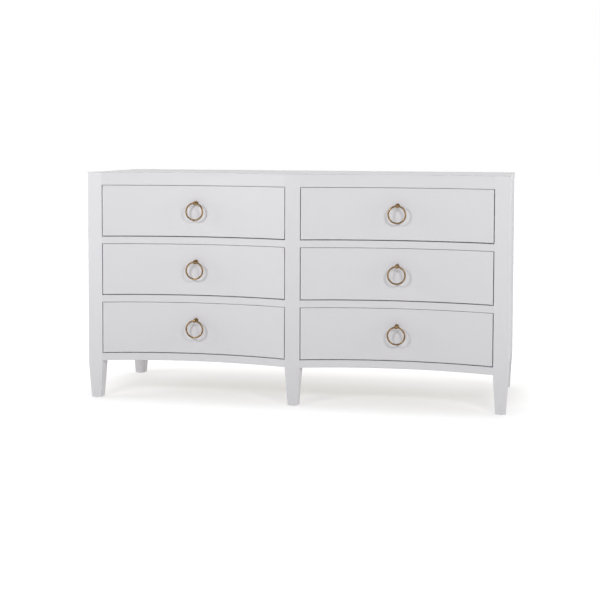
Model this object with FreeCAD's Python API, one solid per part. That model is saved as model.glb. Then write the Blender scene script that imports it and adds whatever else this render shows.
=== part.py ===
"""Concave-front chest of six drawers on five tapered legs, with brass ring pulls.

Two banks of three inset drawers stand side by side. Each bank is scooped back in one
shallow arc between flat-faced legs, and the top, the rails and the drawer fronts all
follow that arc. Every drawer runs on a pair of three-member telescopic slides and has
one ring pull hung from a drilled ball post.

Millimetres. +X is to the right, +Y to the back, +Z up. The origin is on the floor,
under the middle of the chest. Each piece is a solid of its own, and each node is
written to parts/NODE.step.
"""

import FreeCAD
import Part
import math
import os

Vector = FreeCAD.Vector

# ---------------------------------------------------------------- driving dimensions
# Case
overall_width = 1626.0
overall_depth = 560.0
overall_height = 883.0
bow_depth = 52.0            # how far the middle of each bank is scooped back
rows = 3                    # drawers in each bank

# Legs
leg_width = 57.0            # square section above the taper
foot_width = 39.0           # square section at the foot
leg_clear_height = 149.0    # floor to the underside of the bottom rails
taper_drop = 10.0           # underside of the rails to the start of the taper
eased_edge = 1.5            # bevel along the exposed edges of the legs

# Foot glides
glide_radius = 12.0
glide_thickness = 2.5
glide_pin_radius = 2.0
glide_pin_length = 14.0

# Top and rails
top_thickness = 25.0
top_edge_radius = 2.0
top_rail_height = 24.0
middle_rail_height = 27.0
bottom_rail_height = 28.5
rail_web = 45.0             # rail left behind the deepest point of the bow
rail_edge_bevel = 1.0       # along the front edges that show
tenon_length = 18.0
tenon_shoulder = 5.0        # wood above and below a tenon
tenon_setback = 16.0        # front face of the leg to the tenon
tenon_width = 30.0

# Panels
side_panel_thickness = 18.0
side_panel_inset = 5.0      # legs stand proud of the side panels
tongue_depth = 8.0          # panel edge held in a groove of a leg or rail
side_groove_depth = 6.0     # bottom panel's edge held in the side panels
partition_thickness = 18.0
bottom_panel_thickness = 12.0
bottom_panel_lift = 8.0     # underside of the rails to the underside of the panel
notch_clearance = 1.0

# Rear frame and back panels
rear_rail_thickness = 22.0
rear_top_rail_height = 50.0
rear_bottom_rail_height = 60.0
rear_stile_width = 57.0
back_panel_thickness = 6.0
back_panel_setback = 8.0    # rear face of the legs to the back panels
back_panel_margin = 3.0     # bare edge of the rear rails beyond the back panels
back_panel_gap = 1.0        # between a back panel and what stands beside it

# Back panel screws
screw_head_radius = 3.6
screw_head_height = 2.2
screw_shank_radius = 1.7
screw_shank_length = 20.0
screw_hole_clearance = 0.2
screw_edge_distance = 14.0
screws_across = 5
screws_up = 3

# Glue blocks under the top
glue_block_length = 45.0
glue_block_width = 20.0
glue_blocks_per_run = 3

# Drawers
drawer_side_gap = 3.0       # inset drawer front to the legs, each side
drawer_top_gap = 1.5
drawer_bottom_gap = 3.5
front_thickness = 20.0
front_edge_radius = 1.0
box_side_thickness = 12.0
box_back_thickness = 12.0
box_height = 150.0
box_lift = 18.0             # bottom of the opening to the bottom of the box
box_rear_clearance = 12.0   # rear rail to the back end of the drawer sides
box_back_inset = 8.0        # drawer side's rear end to the back board
box_back_drop = 6.0         # back board's top edge below the sides
dado_depth = 5.0
drawer_bottom_thickness = 6.0
drawer_bottom_lift = 8.0
drawer_groove_depth = 6.0
groove_clearance = 0.3
side_housing_depth = 7.0    # end of a drawer side let into the drawer front

# Telescopic slides
slide_thickness = 12.7
slide_height = 45.0
slide_steel = 1.5
slide_side_clearance = 0.9  # between the webs of two members
slide_race_clearance = 3.4  # between the lips of two members, for the balls
slide_setback = 30.0        # face of the legs to the front end of the slides
slide_rear_clearance = 24.0  # back end of the slides to the rear rail
slide_centre_height = 70.0  # bottom of the opening to the middle of the slides
cabinet_flange = 9.5
packer_height = 60.0

# Ring pulls
ring_radius = 32.5          # to the middle of the wire
ring_wire_radius = 3.2
ball_radius = 7.0
ball_hole_radius = 4.0
ball_standoff = 24.0        # drawer face to the middle of the ball
stem_radius = 4.2
rose_radius = 8.5
rose_thickness = 2.5
rose_edge_radius = 1.0
post_seat_gap = 0.05
pull_screw_radius = 2.0
pull_screw_head_radius = 4.5
pull_screw_head_height = 2.6
pull_screw_engagement = 11.0
pull_screw_clearance = 0.15
pull_hole_clearance = 0.5

cut_overrun = 2.0           # how far a cutting shape reaches past what it cuts
same_place = 0.01           # two points nearer than this are one point

# ---------------------------------------------------------------- derived places
half_width = overall_width / 2
taper_top_z = leg_clear_height - taper_drop
front_y = -overall_depth / 2
rear_y = overall_depth / 2
opening_width = (overall_width - 3 * leg_width) / 2
opening_height = (
    overall_height - top_thickness - top_rail_height - bottom_rail_height
    - leg_clear_height - (rows - 1) * middle_rail_height
) / rows
top_underside = overall_height - top_thickness
leg_back_y = front_y + leg_width            # rear face of the front legs
rear_leg_front_y = rear_y - leg_width       # front face of the rear legs
rail_back_y = front_y + bow_depth + rail_web
bow_radius = ((opening_width / 2) ** 2 + bow_depth ** 2) / (2 * bow_depth)
bow_centre_y = front_y + bow_depth - bow_radius
side_panel_outer = half_width - side_panel_inset
side_panel_inner = side_panel_outer - side_panel_thickness
back_panel_rear_y = rear_y - back_panel_setback
rear_rail_back_y = back_panel_rear_y - back_panel_thickness
rear_rail_front_y = rear_rail_back_y - rear_rail_thickness
bottom_panel_z = leg_clear_height + bottom_panel_lift
bottom_panel_top_z = bottom_panel_z + bottom_panel_thickness
slide_front_y = front_y + slide_setback
slide_back_y = rear_rail_front_y - slide_rear_clearance
box_back_end_y = rear_rail_front_y - box_rear_clearance

BANKS = {"left": -1, "right": 1}
ROWS = ["lower", "middle", "upper"]
CORNERS = [(1, -1), (1, 1), (-1, 1), (-1, -1)]      # of a square, in order round it


def opening_bottom(row):
    """Height of the underside of a row's drawer openings."""
    first = leg_clear_height + bottom_rail_height
    return first + row * (opening_height + middle_rail_height)


def bank_middle(bank):
    """X of the middle of a bank."""
    return BANKS[bank] * (leg_width + opening_width) / 2


def arc_y(x_from_middle, behind_face=0.0):
    """Y of the bowed face, or of an arc some distance behind it."""
    radius = bow_radius + behind_face
    return bow_centre_y + math.sqrt(radius ** 2 - x_from_middle ** 2)


# ---------------------------------------------------------------- shape helpers
def box(x0, x1, y0, y1, z0, z1):
    """A box between two corners, given in either order."""
    corner = Vector(min(x0, x1), min(y0, y1), min(z0, z1))
    return Part.makeBox(abs(x1 - x0), abs(y1 - y0), abs(z1 - z0), corner)


def cylinder(radius, start, end):
    """A round bar between two points."""
    along = end - start
    return Part.makeCylinder(radius, along.Length, start, along)


def prism_along_y(points_xz, y0, y1):
    """A closed outline in the XZ plane, carried from y0 to y1."""
    corners = [Vector(x, y0, z) for x, z in points_xz]
    outline = Part.Face(Part.makePolygon(corners + corners[:1]))
    return outline.extrude(Vector(0, y1 - y0, 0))


def slab_from_edges(edges, z0, z1):
    """A closed outline in plan, given as edges, carried from z0 to z1."""
    face = Part.Face(Part.Wire(edges))
    face.translate(Vector(0, 0, z0))
    return face.extrude(Vector(0, 0, z1 - z0))


def line(x0, y0, x1, y1):
    return Part.LineSegment(Vector(x0, y0, 0), Vector(x1, y1, 0)).toShape()


def bow_arc(bank, dx0, dx1, behind_face=0.0):
    """An arc of the bank's bow between two distances from its middle."""
    middle = bank_middle(bank)
    stops = [dx0, (dx0 + dx1) / 2, dx1]
    return Part.Arc(*[Vector(middle + dx, arc_y(dx, behind_face), 0) for dx in stops]).toShape()


def bowed_board(bank, half_length, near, far, z0, z1):
    """A board bent to the bow, between two distances behind the face."""
    middle = bank_middle(bank)
    left, right = middle - half_length, middle + half_length
    y_near, y_far = arc_y(half_length, near), arc_y(half_length, far)
    return slab_from_edges([
        bow_arc(bank, -half_length, half_length, near),
        line(right, y_near, right, y_far),
        bow_arc(bank, half_length, -half_length, far),
        line(left, y_far, left, y_near),
    ], z0, z1)


def on_bow(edge, bank):
    """Whether both ends of an edge lie on a bank's bowed face."""
    ends = [edge.valueAt(t) for t in edge.ParameterRange]
    return all(abs(p.y - arc_y(p.x - bank_middle(bank))) < same_place for p in ends)


def bow_drum(bank, behind_face, z0, z1):
    """The whole cylinder that an arc of the bow belongs to."""
    centre = Vector(bank_middle(bank), bow_centre_y, z0)
    return Part.makeCylinder(bow_radius + behind_face, z1 - z0, centre)


def square_outline(half, z, eased):
    """Corner points of a square outline, bevelled at the corners named in eased."""
    points = []
    for i, (x, y) in enumerate(CORNERS):
        corner = Vector(x * half, y * half, z)
        if (x, y) not in eased:
            points.append(corner)
            continue
        for next_x, next_y in (CORNERS[i - 1], CORNERS[(i + 1) % len(CORNERS)]):
            points.append(corner + Vector(next_x - x, next_y - y, 0) / 2 * eased_edge)
    return points


def group(solids):
    """Several separate solids that share one node."""
    return Part.makeCompound(solids)


def cut_all(solid, tools):
    """A solid less each of the tools that reaches it."""
    for tool in tools:
        if solid.BoundBox.intersect(tool.BoundBox):
            solid = solid.cut(tool)
    return solid


# ---------------------------------------------------------------- rails
def rail_tenon(bank, side, z0, z1):
    """The tenon at one end of a front rail. side is -1 for the left end."""
    end_x = bank_middle(bank) + side * opening_width / 2
    return box(end_x, end_x + side * tenon_length,
               front_y + tenon_setback, front_y + tenon_setback + tenon_width,
               z0 + tenon_shoulder, z1 - tenon_shoulder)


def front_rail(bank, z0, z1):
    """A rail with a bowed face, a straight back and a tenon at each end."""
    middle, half = bank_middle(bank), opening_width / 2
    body = slab_from_edges([
        bow_arc(bank, -half, half),
        line(middle + half, front_y, middle + half, rail_back_y),
        line(middle + half, rail_back_y, middle - half, rail_back_y),
        line(middle - half, rail_back_y, middle - half, front_y),
    ], z0, z1)
    showing = [e for e in body.Edges if on_bow(e, bank) and e.BoundBox.ZLength < same_place
               and e.BoundBox.ZMin < top_underside - same_place]
    body = body.makeChamfer(rail_edge_bevel, showing)
    tenons = [rail_tenon(bank, side, z0, z1) for side in (-1, 1)]
    return body.fuse(tenons).removeSplitter()


def rear_rail(z0, z1):
    """A straight rail between the rear legs, with a tenon at each end."""
    inner = half_width - leg_width
    body = box(-inner, inner, rear_rail_front_y, rear_rail_back_y, z0, z1)
    quarter = rear_rail_thickness / 4
    tenon = box(-inner - tenon_length, inner + tenon_length,
                rear_rail_front_y + quarter, rear_rail_back_y - quarter,
                z0 + tenon_shoulder, z1 - tenon_shoulder)
    return body.fuse(tenon).removeSplitter()


def make_rails():
    """Front rails by name, each a left and right pair, and the two rear rails."""
    heights = {"bottom_rails": (leg_clear_height, leg_clear_height + bottom_rail_height),
               "top_rails": (top_underside - top_rail_height, top_underside)}
    for row in range(1, rows):
        top = opening_bottom(row)
        heights[f"{ROWS[row]}_drawer_rails"] = (top - middle_rail_height, top)
    front = {name: [front_rail(bank, *z) for bank in BANKS] for name, z in heights.items()}
    rear = {
        "rear_top_rail": rear_rail(top_underside - rear_top_rail_height, top_underside),
        "rear_bottom_rail": rear_rail(leg_clear_height, leg_clear_height + rear_bottom_rail_height),
    }
    return front, rear


# ---------------------------------------------------------------- legs
def tapered_foot():
    """The leg below the rails, tapered and bevelled all round, over the origin."""
    lower = square_outline(foot_width / 2, glide_thickness, CORNERS)
    upper = square_outline(leg_width / 2, taper_top_z, CORNERS)
    outlines = [lower, upper]
    for i in range(len(lower)):
        j = (i + 1) % len(lower)
        outlines.append([lower[i], lower[j], upper[j], upper[i]])
    faces = [Part.Face(Part.makePolygon(o + o[:1])) for o in outlines]
    return Part.Solid(Part.Shell(faces))


def plain_leg(side, is_rear):
    """A leg over the origin, its square part bevelled only at its exposed corners."""
    exposed = [c for c in CORNERS if c[0] == side or (is_rear and c[1] == 1)]
    outline = square_outline(leg_width / 2, taper_top_z, exposed)
    post = Part.Face(Part.makePolygon(outline + outline[:1]))
    post = post.extrude(Vector(0, 0, top_underside - taper_top_z))
    return tapered_foot().fuse(post).removeSplitter()


def foot_glide():
    """A round glide with the pin that holds it in the foot, over the origin."""
    disc = Part.makeCylinder(glide_radius, glide_thickness)
    pin = Part.makeCylinder(glide_pin_radius, glide_thickness + glide_pin_length)
    return disc.fuse(pin).removeSplitter()


def make_legs(held):
    """The five legs and their glides. held is every piece let into a leg."""
    outer = half_width - leg_width / 2
    front, rear = front_y + leg_width / 2, rear_y - leg_width / 2
    places = {"front_left_leg": (-1, front), "front_centre_leg": (0, front),
              "front_right_leg": (1, front), "rear_left_leg": (-1, rear), "rear_right_leg": (1, rear)}
    pin_hole = Part.makeCylinder(glide_pin_radius + groove_clearance,
                                 glide_thickness + glide_pin_length + notch_clearance)
    legs, glides = {}, []
    for name, (side, y) in places.items():
        x = side * outer
        leg = plain_leg(side, y > 0).cut(pin_hole)
        leg.translate(Vector(x, y, 0))
        legs[name] = cut_all(leg, held)
        glide = foot_glide()
        glide.translate(Vector(x, y, 0))
        glides.append(glide)
    return legs, glides


# ---------------------------------------------------------------- panels
def make_top():
    """The top, scooped along both banks, with its upper edges rounded."""
    edges = []
    for bank in BANKS:
        middle, half = bank_middle(bank), opening_width / 2
        edges.append(line(middle - half - (leg_width if bank == "left" else leg_width / 2),
                          front_y, middle - half, front_y))
        edges.append(bow_arc(bank, -half, half))
        edges.append(line(middle + half, front_y,
                          middle + half + (leg_width if bank == "right" else leg_width / 2), front_y))
    edges += [line(half_width, front_y, half_width, rear_y),
              line(half_width, rear_y, -half_width, rear_y),
              line(-half_width, rear_y, -half_width, front_y)]
    top = slab_from_edges(edges, top_underside, overall_height).removeSplitter()
    corners = [e for e in top.Edges if e.BoundBox.ZLength > top_thickness / 2
               and abs(e.BoundBox.XMin) > half_width - eased_edge]
    top = top.makeChamfer(eased_edge, corners)
    upper = [e for e in top.Edges if e.BoundBox.ZMin > overall_height - top_edge_radius]
    return top.makeFillet(top_edge_radius, upper)


def make_bottom_panel():
    """The dust panel, notched round the rear legs."""
    reach = side_panel_inner + side_groove_depth
    panel = box(-reach, reach, rail_back_y - tongue_depth, rear_rail_front_y + tongue_depth,
                bottom_panel_z, bottom_panel_top_z)
    notches = [box(side * (half_width - leg_width - notch_clearance), side * half_width,
                   rear_leg_front_y - notch_clearance, rear_y, 0, overall_height)
               for side in (-1, 1)]
    return cut_all(panel, notches)


def make_side_panel(side):
    """A side panel, tongued into the front and rear legs."""
    return box(side * side_panel_inner, side * side_panel_outer,
               leg_back_y - tongue_depth, rear_leg_front_y + tongue_depth,
               leg_clear_height, top_underside)


def make_partition():
    """The upright between the banks, tongued into the front centre leg."""
    half = partition_thickness / 2
    return box(-half, half, leg_back_y - tongue_depth, rear_rail_front_y,
               bottom_panel_top_z, top_underside)


def make_rear_stile():
    """The upright between the rear rails that both back panels meet on."""
    return box(-rear_stile_width / 2, rear_stile_width / 2, rear_rail_front_y, rear_rail_back_y,
               leg_clear_height + rear_bottom_rail_height, top_underside - rear_top_rail_height)


def back_panel_box(side):
    """Corners of one back panel: x nearest the middle, x furthest, z low, z high."""
    return (side * back_panel_gap / 2, side * (half_width - leg_width - back_panel_gap),
            leg_clear_height + back_panel_margin, top_underside - back_panel_margin)


def back_screw_places(side):
    """Centres of the screws round one back panel, as x and z."""
    near, far, low, high = back_panel_box(side)
    inner_x, outer_x = near + side * screw_edge_distance, far - side * screw_edge_distance
    low_z, high_z = low + screw_edge_distance, high - screw_edge_distance
    across = [inner_x + (outer_x - inner_x) * i / (screws_across - 1) for i in range(screws_across)]
    up = [low_z + (high_z - low_z) * i / (screws_up + 1) for i in range(1, screws_up + 1)]
    return [(x, z) for z in (low_z, high_z) for x in across] + [(inner_x, z) for z in up]


def back_screw(x, z, extra=0.0):
    """A round-headed screw driven forwards into the rear frame."""
    seat = Vector(x, back_panel_rear_y, z)
    shank = cylinder(screw_shank_radius + extra, seat, seat - Vector(0, screw_shank_length + extra, 0))
    if extra:
        return shank
    head = cylinder(screw_head_radius, seat, seat + Vector(0, screw_head_height, 0))
    rim = [e for e in head.Edges if e.BoundBox.YMin > back_panel_rear_y + screw_head_height / 2]
    return head.makeFillet(screw_head_height / 2, rim).fuse(shank).removeSplitter()


def make_back_panel(side):
    near, far, low, high = back_panel_box(side)
    return box(near, far, rear_rail_back_y, back_panel_rear_y, low, high)


# ---------------------------------------------------------------- packers, blocks
def slide_centre_z(row):
    return opening_bottom(row) + slide_centre_height


def cabinet_faces():
    """X of each face that carries slides, and the side on which its drawer lies."""
    inner, outer = leg_width / 2, leg_width / 2 + opening_width
    return [(-outer, 1), (-inner, -1), (inner, 1), (outer, -1)]


def make_packers():
    """Wooden packers that bring the slides out level with the drawer openings."""
    packers = []
    for face, side in cabinet_faces():
        outside = abs(face) > opening_width / 2
        wall = math.copysign(side_panel_inner if outside else partition_thickness / 2, face)
        back = rear_leg_front_y if outside else slide_back_y
        for row in range(rows):
            z = slide_centre_z(row)
            packers.append(box(wall, face, leg_back_y, back,
                               z - packer_height / 2, z + packer_height / 2))
    return packers


def make_glue_blocks():
    """Blocks that tie the top to the side panels and to the partition."""
    blocks = []
    walls = [(-side_panel_inner, 1), (-partition_thickness / 2, -1),
             (partition_thickness / 2, 1), (side_panel_inner, -1)]
    run = rear_leg_front_y - leg_back_y
    for wall, side in walls:
        for i in range(glue_blocks_per_run):
            y = leg_back_y + run * (i + 0.5) / glue_blocks_per_run
            blocks.append(box(wall, wall + side * glue_block_width,
                              y - glue_block_length / 2, y + glue_block_length / 2,
                              top_underside - glue_block_width, top_underside))
    return blocks


# ---------------------------------------------------------------- slides
def channel(face, side, web_from, web_to, open_at, height, z):
    """One slide member: a steel channel whose web and lips are set off the cabinet face."""
    half = height / 2
    web_a, web_b, lip = (face + side * d for d in (web_from, web_to, open_at))
    outline = [(web_a, z - half), (lip, z - half), (lip, z - half + slide_steel),
               (web_b, z - half + slide_steel), (web_b, z + half - slide_steel),
               (lip, z + half - slide_steel), (lip, z + half), (web_a, z + half)]
    return prism_along_y(outline, slide_front_y, slide_back_y)


def slide_members(face, side, row):
    """The cabinet, middle and drawer members of one telescopic slide."""
    z = slide_centre_z(row)
    step = 2 * (slide_steel + slide_race_clearance)
    middle_web = slide_steel + slide_side_clearance
    drawer_web = slide_thickness - slide_steel
    cabinet = channel(face, side, 0, slide_steel, cabinet_flange, slide_height, z)
    middle = channel(face, side, middle_web, middle_web + slide_steel,
                     drawer_web - slide_side_clearance, slide_height - step, z)
    drawer = channel(face, side, slide_thickness, drawer_web,
                     middle_web + slide_steel + slide_side_clearance, slide_height - 2 * step, z)
    return cabinet, middle, drawer


def bank_slides(bank, row):
    """Both slides of one drawer, as (cabinet, middle, drawer) members."""
    faces = [f for f in cabinet_faces() if f[0] * BANKS[bank] > 0]
    return [slide_members(face, side, row) for face, side in faces]


# ---------------------------------------------------------------- drawers
def drawer_front(bank, row, sides):
    """The bent drawer front, drilled for its pull, with the sides and bottom let into it."""
    z0 = opening_bottom(row) + drawer_bottom_gap
    z1 = opening_bottom(row) + opening_height - drawer_top_gap
    middle, half_front = bank_middle(bank), opening_width / 2 - drawer_side_gap
    board = bowed_board(bank, half_front, 0, front_thickness, z0, z1)
    board = board.makeFillet(front_edge_radius, [e for e in board.Edges if on_bow(e, bank)])
    groove_z = opening_bottom(row) + box_lift + drawer_bottom_lift
    half_groove = opening_width / 2 - slide_thickness - box_side_thickness + drawer_groove_depth
    groove = bowed_board(bank, half_groove, front_thickness - drawer_groove_depth - groove_clearance,
                         front_thickness + drawer_groove_depth,
                         groove_z, groove_z + drawer_bottom_thickness)
    face = Vector(middle, front_y + bow_depth, post_z(row))
    hole = cylinder(pull_screw_radius + pull_hole_clearance,
                    face - Vector(0, front_thickness, 0), face + Vector(0, 2 * front_thickness, 0))
    return board.cut([groove, hole] + sides)


def drawer_box(bank, row):
    """Two sides, a back and a bottom, as four separate boards."""
    middle, half = bank_middle(bank), opening_width / 2 - slide_thickness
    z0 = opening_bottom(row) + box_lift
    z1 = z0 + box_height
    bottom_z = z0 + drawer_bottom_lift
    bottom_top_z = bottom_z + drawer_bottom_thickness
    half_bottom = half - box_side_thickness + drawer_groove_depth
    bottom = box(middle - half_bottom, middle + half_bottom, front_y, box_back_end_y,
                 bottom_z, bottom_top_z)
    bottom = bottom.cut(bow_drum(bank, front_thickness - drawer_groove_depth,
                                 bottom_z - cut_overrun, bottom_top_z + cut_overrun))
    back_y = box_back_end_y - box_back_inset
    half_back = half - box_side_thickness + dado_depth
    back = box(middle - half_back, middle + half_back, back_y - box_back_thickness, back_y,
               bottom_top_z, z1 - box_back_drop)
    let_into_front = bow_drum(bank, front_thickness - side_housing_depth,
                              z0 - cut_overrun, z1 + cut_overrun)
    sides = []
    for side in (-1, 1):
        board = box(middle + side * half, middle + side * (half - box_side_thickness),
                    front_y, box_back_end_y, z0, z1)
        sides.append(board.cut([let_into_front, bottom, back]))
    return sides, back, bottom


# ---------------------------------------------------------------- ring pulls
def post_z(row):
    """Height of a pull's ball: its ring then hangs level with the drawer's middle."""
    return opening_bottom(row) + opening_height / 2 + ring_radius


def ball_place(bank, row):
    return Vector(bank_middle(bank), front_y + bow_depth - ball_standoff, post_z(row))


def pull_post(bank, row):
    """The rose, stem and drilled ball, and the screw that holds them from inside."""
    ball = ball_place(bank, row)
    out = Vector(0, -1, 0)
    seat = Vector(ball.x, front_y + bow_depth - post_seat_gap, ball.z)
    rose = cylinder(rose_radius, seat, seat + out * rose_thickness)
    rim = [e for e in rose.Edges if e.BoundBox.YMax < seat.y - rose_thickness / 2]
    rose = rose.makeFillet(rose_edge_radius, rim)
    stem = cylinder(stem_radius, seat, ball)
    post = rose.fuse([stem, Part.makeSphere(ball_radius, ball)]).removeSplitter()
    across = Vector(2 * ball_radius, 0, 0)
    post = post.cut(cylinder(ball_hole_radius, ball - across, ball + across))
    tapped = cylinder(pull_screw_radius + pull_screw_clearance, seat + Vector(0, 1, 0),
                      seat + out * (pull_screw_engagement + pull_screw_clearance))
    post = post.cut(tapped)
    inside = Vector(ball.x, front_y + bow_depth + front_thickness + post_seat_gap, ball.z)
    head = cylinder(pull_screw_head_radius, inside, inside - out * pull_screw_head_height)
    rim = [e for e in head.Edges if e.BoundBox.YMin > inside.y + pull_screw_head_height / 2]
    head = head.makeFillet(pull_screw_head_height / 2, rim)
    screw = head.fuse(cylinder(pull_screw_radius, inside, seat + out * pull_screw_engagement))
    return [post, screw.removeSplitter()]


def pull_ring(bank, row):
    """The ring, hanging through the ball."""
    centre = ball_place(bank, row) - Vector(0, 0, ring_radius)
    return Part.makeTorus(ring_radius, ring_wire_radius, centre, Vector(0, 1, 0))


# ---------------------------------------------------------------- the whole chest
def make_case():
    """Every piece of the fixed case, by node name."""
    front_rails, rear_rails = make_rails()
    side_panels = {"left_side_panel": make_side_panel(-1), "right_side_panel": make_side_panel(1)}
    partition = make_partition()
    bottom = make_bottom_panel()
    screw_places = [p for side in (-1, 1) for p in back_screw_places(side)]
    screw_holes = [back_screw(x, z, screw_hole_clearance) for x, z in screw_places]

    let_in = [r for pair in front_rails.values() for r in pair] + list(rear_rails.values())
    legs, glides = make_legs(let_in + list(side_panels.values()) + [partition])
    nodes = dict(legs)
    nodes["foot_glides"] = group(glides)
    nodes["top_panel"] = make_top()
    nodes["bottom_panel"] = bottom
    nodes["centre_partition"] = partition
    for name, panel in side_panels.items():
        nodes[name] = panel.cut(bottom)
    for name, pair in front_rails.items():
        nodes[name] = group([cut_all(rail, [bottom]) for rail in pair])
    for name, rail in rear_rails.items():
        nodes[name] = cut_all(rail, [bottom] + screw_holes)
    nodes["rear_centre_stile"] = cut_all(make_rear_stile(), screw_holes)
    nodes["left_back_panel"] = cut_all(make_back_panel(-1), screw_holes)
    nodes["right_back_panel"] = cut_all(make_back_panel(1), screw_holes)
    nodes["back_panel_screws"] = group([back_screw(x, z) for x, z in screw_places])
    nodes["slide_packers"] = group(make_packers())
    nodes["glue_blocks"] = group(make_glue_blocks())
    nodes["slide_cabinet_members"] = group(
        [slide[0] for bank in BANKS for row in range(rows) for slide in bank_slides(bank, row)])
    return nodes


def make_drawer(bank, row):
    """Every piece of one drawer, by node name."""
    name = f"{ROWS[row]}_{bank}"
    slides = bank_slides(bank, row)
    sides, back, bottom = drawer_box(bank, row)
    return {
        f"{name}_drawer_front": drawer_front(bank, row, sides),
        f"{name}_drawer_box": group(sides + [back, bottom]),
        f"{name}_slide_drawer_members": group([s[2] for s in slides]),
        f"{name}_slide_middle_members": group([s[1] for s in slides]),
        f"{name}_pull_post": group(pull_post(bank, row)),
        f"{name}_pull_ring": pull_ring(bank, row),
    }


def main():
    os.makedirs("parts", exist_ok=True)
    nodes = make_case()
    for bank in BANKS:
        for row in range(rows):
            nodes.update(make_drawer(bank, row))
    for name, shape in nodes.items():
        for solid in shape.Solids:
            if not solid.isValid() or solid.Volume <= 0:
                raise ValueError(f"{name} holds a solid that isn't closed")
        shape.exportStep(f"parts/{name}.step")
    print(len(nodes), "nodes,", sum(len(s.Solids) for s in nodes.values()), "solids")


main()
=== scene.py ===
import math
import random

import bmesh
import bpy
from mathutils import Matrix, Vector


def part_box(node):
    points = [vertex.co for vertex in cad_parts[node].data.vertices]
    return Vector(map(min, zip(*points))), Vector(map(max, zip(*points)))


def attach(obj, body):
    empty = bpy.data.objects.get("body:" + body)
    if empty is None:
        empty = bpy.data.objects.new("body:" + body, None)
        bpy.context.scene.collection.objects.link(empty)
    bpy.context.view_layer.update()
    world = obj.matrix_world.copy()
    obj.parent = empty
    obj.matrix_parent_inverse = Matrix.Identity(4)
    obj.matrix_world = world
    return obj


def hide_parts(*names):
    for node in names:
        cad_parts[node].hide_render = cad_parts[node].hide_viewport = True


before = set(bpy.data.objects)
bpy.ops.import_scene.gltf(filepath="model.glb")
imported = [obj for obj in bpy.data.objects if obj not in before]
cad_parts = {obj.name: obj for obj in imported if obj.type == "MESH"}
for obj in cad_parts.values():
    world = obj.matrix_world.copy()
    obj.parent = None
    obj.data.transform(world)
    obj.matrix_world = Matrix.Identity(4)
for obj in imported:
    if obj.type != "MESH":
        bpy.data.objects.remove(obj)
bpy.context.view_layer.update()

banks = ("left", "right")
rows = ("lower", "middle", "upper")
drawerNames = [f"{row}_{bank}" for bank in banks for row in rows]
weldDistance = 1e-6
print("frame loaded:", len(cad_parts), "nodes")


class Wire:
    # one socket of a node tree; a sum or product of wires adds its own Math node

    def __init__(self, tree, socket=None):
        self.tree = tree
        self.socket = socket

    def node(self, kind, settings=None, sockets=None, output=0):
        # settings first, because some of them change which sockets there are
        made = self.tree.nodes.new(kind)
        for name, value in (settings or {}).items():
            if name == "stops":
                setStops(made.color_ramp.elements, value)
            else:
                setattr(made, name, value)
        for name, value in (sockets or {}).items():
            socket = made.inputs[name]
            if isinstance(value, Wire):
                self.tree.links.new(value.socket, socket)
            elif socket.type == "RGBA":
                socket.default_value = (*value, 1.0)
            else:
                socket.default_value = value
        return Wire(self.tree, made.outputs[output] if made.outputs else None)

    def maths(self, operation, *values):
        return self.node("ShaderNodeMath", {"operation": operation}, dict(enumerate(values)))

    def __add__(self, other):
        return self.maths("ADD", self, other)

    def __sub__(self, other):
        return self.maths("SUBTRACT", self, other)

    def __rsub__(self, other):
        return self.maths("SUBTRACT", other, self)

    def __mul__(self, other):
        return self.maths("MULTIPLY", self, other)

    def __truediv__(self, other):
        return self.maths("DIVIDE", self, other)

    def __mod__(self, other):
        return self.maths("MODULO", self, other)

    def __pow__(self, other):
        return self.maths("POWER", self, other)

    __radd__ = __add__
    __rmul__ = __mul__

    def whole(self):
        return self.maths("FLOOR", self)

    def clamped(self):
        return self.node("ShaderNodeClamp", None, {"Value": self})


def setStops(elements, stops):
    while len(elements) < len(stops):
        elements.new(1.0)
    for element, (place, colour) in zip(elements, stops):
        element.position = place
        element.color = (*colour, 1.0)


def noise(shade, point, scale, detail=3.0, rough=0.5):
    sockets = {"Vector": point, "Scale": scale, "Detail": detail, "Roughness": rough}
    return shade.node("ShaderNodeTexNoise", None, sockets)


def blendColours(shade, share, first, second):
    return shade.node("ShaderNodeMix", {"data_type": "RGBA"}, {0: share, 6: first, 7: second}, 2)


def ramp(shade, share, stops):
    return shade.node("ShaderNodeValToRGB", {"stops": stops}, {"Fac": share})


def whiteAbove(shade, value, stops, floor=0.0):
    # white above the second stop, and down to a grey floor below the first
    low, high = stops
    return ramp(shade, value, [(low, (floor,) * 3), (high, (1.0, 1.0, 1.0))])


def multiplied(shade, first, second):
    settings = {"data_type": "RGBA", "blend_type": "MULTIPLY"}
    return shade.node("ShaderNodeMix", settings, {0: 1.0, 6: first, 7: second}, 2)


def between(low, high, share):
    return low + (high - low) * share


def mixed(first, second, share):
    # share is how much of the second there is
    return first * (1 - share) + second * share


def vectorMaths(shade, operation, *values, output=0):
    return shade.node("ShaderNodeVectorMath", {"operation": operation}, dict(enumerate(values)), output)


def stretched(shade, point, scales):
    return vectorMaths(shade, "MULTIPLY", point, scales)


def part(shade, vector, axis):
    return shade.node("ShaderNodeSeparateXYZ", None, {"Vector": vector}, axis)


def bumped(shade, height):
    # height is in metres
    return shade.node("ShaderNodeBump", None, {"Height": height, "Strength": 1.0, "Distance": 1.0})


def emptied(owner):
    # the node tree of a material or a world, with nothing in it
    owner.use_nodes = True
    owner.node_tree.nodes.clear()
    return Wire(owner.node_tree)


def newFinish(name, build, look):
    finish = bpy.data.materials.new(name)
    shade = emptied(finish)
    surface = shade.node("ShaderNodeBsdfPrincipled", None, build(shade, look))
    shade.node("ShaderNodeOutputMaterial", None, {"Surface": surface})
    return finish


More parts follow.
